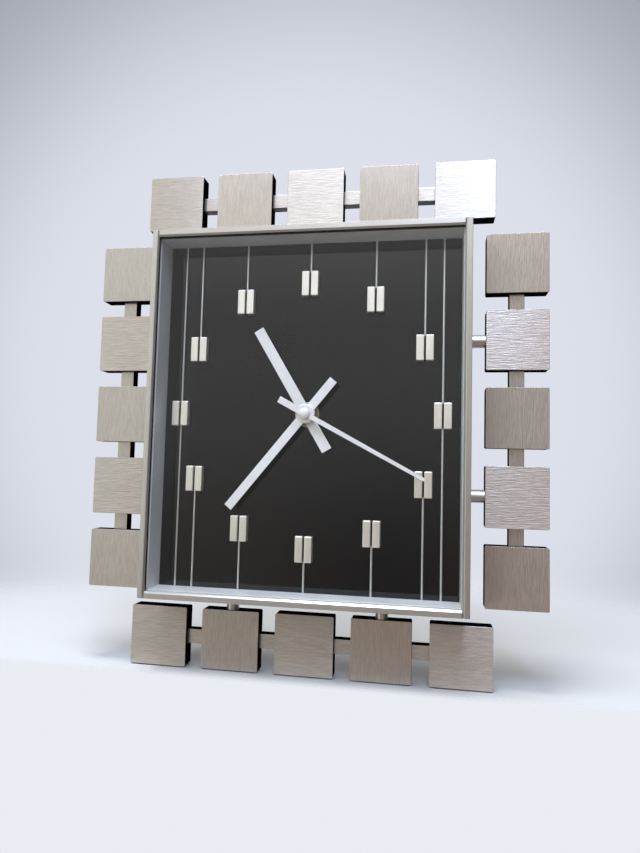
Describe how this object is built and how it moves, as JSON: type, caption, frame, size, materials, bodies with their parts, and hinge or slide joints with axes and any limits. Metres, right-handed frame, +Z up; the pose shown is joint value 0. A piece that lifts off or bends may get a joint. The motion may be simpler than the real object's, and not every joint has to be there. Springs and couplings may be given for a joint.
{
  "type": "wall clock",
  "caption": "Wall clock with a rectangular glazed metal case, black dial, grooved metal hour indices and white hands, framed by rows of brushed metal blocks on standoff rails.",
  "frame": {"origin": "where the hands' axis meets the wall plane, on the outer face of the back panel", "axes": "+Z up, +X to the right seen from the front, +Y from the clock into the wall, so the dial faces -Y"},
  "size_m": [0.275, 0.04, 0.305],
  "materials": {
    "brushed_block": "face brushed along or across the row in turn, sides and back lacquered black",
    "satin_metal": "satin, warm grey",
    "clear_glass": "clear polished sheet",
    "dial_black": "semi-matt black lacquer",
    "index_metal": "satin silver, brushed along its length",
    "white_lacquer": "white lacquer on sheet metal",
    "turned_brass": "turned, slightly dulled",
    "pale_nylon": "natural moulded nylon",
    "movement_plastic": "moulded black, fine texture",
    "coil_copper": "wound enamelled wire on a stator plate",
    "cell_wrap": "printed film over a steel can, plain",
    "panel_black": "matt black coated sheet"
  },
  "bodies": {
    "case": {"case_left": "satin_metal", "case_right": "satin_metal", "case_top": "satin_metal", "case_bottom": "satin_metal", "front_glass": "clear_glass", "dial_spacer": "satin_metal", "dial_plate": "dial_black", "block_top_1": "brushed_block", "block_top_2": "brushed_block", "block_top_3": "brushed_block", "block_top_4": "brushed_block", "block_top_5": "brushed_block", "block_right_1": "brushed_block", "block_right_2": "brushed_block", "block_right_3": "brushed_block", "block_right_4": "brushed_block", "block_right_5": "brushed_block", "block_bottom_1": "brushed_block", "block_bottom_2": "brushed_block", "block_bottom_3": "brushed_block", "block_bottom_4": "brushed_block", "block_bottom_5": "brushed_block", "block_left_1": "brushed_block", "block_left_2": "brushed_block", "block_left_3": "brushed_block", "block_left_4": "brushed_block", "block_left_5": "brushed_block", "rail_top": "satin_metal", "rail_right": "satin_metal", "rail_bottom": "satin_metal", "rail_left": "satin_metal", "index_1": "index_metal", "index_2": "index_metal", "index_3": "index_metal", "index_4": "index_metal", "index_5": "index_metal", "index_6": "index_metal", "index_7": "index_metal", "index_8": "index_metal", "index_9": "index_metal", "index_10": "index_metal", "index_11": "index_metal", "index_12": "index_metal", "fixing_nut": "turned_brass", "movement_housing": "movement_plastic", "movement_cover": "movement_plastic", "drive_coil": "coil_copper", "battery": "cell_wrap", "back_panel": "panel_black"},
    "minute_side": {"minute_hand": "white_lacquer", "minute_arbor": "turned_brass"},
    "hour_side": {"hour_hand": "white_lacquer", "hour_wheel": "pale_nylon"},
    "setting_side": {"setting_wheel": "pale_nylon"},
    "seconds_side": {"seconds_hand": "white_lacquer", "seconds_wheel": "pale_nylon"},
    "third_side": {"third_wheel": "pale_nylon"},
    "clutch_side": {"clutch_wheel": "turned_brass"},
    "step_side": {"step_wheel": "pale_nylon"},
    "rotor_side": {"rotor": "pale_nylon"}
  },
  "joints": [
    {"name": "minute_turn", "type": "hinge", "parent": "case", "child": "minute_side", "pos_m": [0, -0.02, 0], "axis": [0, 1, 0], "continuous": true},
    {"name": "hour_turn", "type": "hinge", "parent": "case", "child": "hour_side", "pos_m": [0, -0.02, 0], "axis": [0, 1, 0], "continuous": true},
    {"name": "setting_turn", "type": "hinge", "parent": "case", "child": "setting_side", "pos_m": [-0.00849, -0.01, 0.00849], "axis": [0, 1, 0], "continuous": true},
    {"name": "seconds_turn", "type": "hinge", "parent": "case", "child": "seconds_side", "pos_m": [0, -0.02, 0], "axis": [0, 1, 0], "continuous": true},
    {"name": "third_turn", "type": "hinge", "parent": "case", "child": "third_side", "pos_m": [0.00778, -0.01, 0.00778], "axis": [0, 1, 0], "continuous": true},
    {"name": "clutch_turn", "type": "hinge", "parent": "case", "child": "clutch_side", "pos_m": [0, -0.012, 0], "axis": [0, 1, 0], "continuous": true},
    {"name": "step_turn", "type": "hinge", "parent": "case", "child": "step_side", "pos_m": [0.0099, -0.006, -0.00139], "axis": [0, 1, 0], "continuous": true},
    {"name": "rotor_turn", "type": "hinge", "parent": "case", "child": "rotor_side", "pos_m": [0.0177, -0.006, 0.00311], "axis": [0, 1, 0], "continuous": true}
  ],
  "couplings": [
    {"joint": "hour_turn", "follows": "minute_turn", "ratio": 0.083333},
    {"joint": "setting_turn", "follows": "minute_turn", "ratio": -0.33333},
    {"joint": "third_turn", "follows": "seconds_turn", "ratio": -0.13333},
    {"joint": "clutch_turn", "follows": "seconds_turn", "ratio": 0.016667},
    {"joint": "step_turn", "follows": "seconds_turn", "ratio": -5},
    {"joint": "rotor_turn", "follows": "seconds_turn", "ratio": 30}
  ]
}
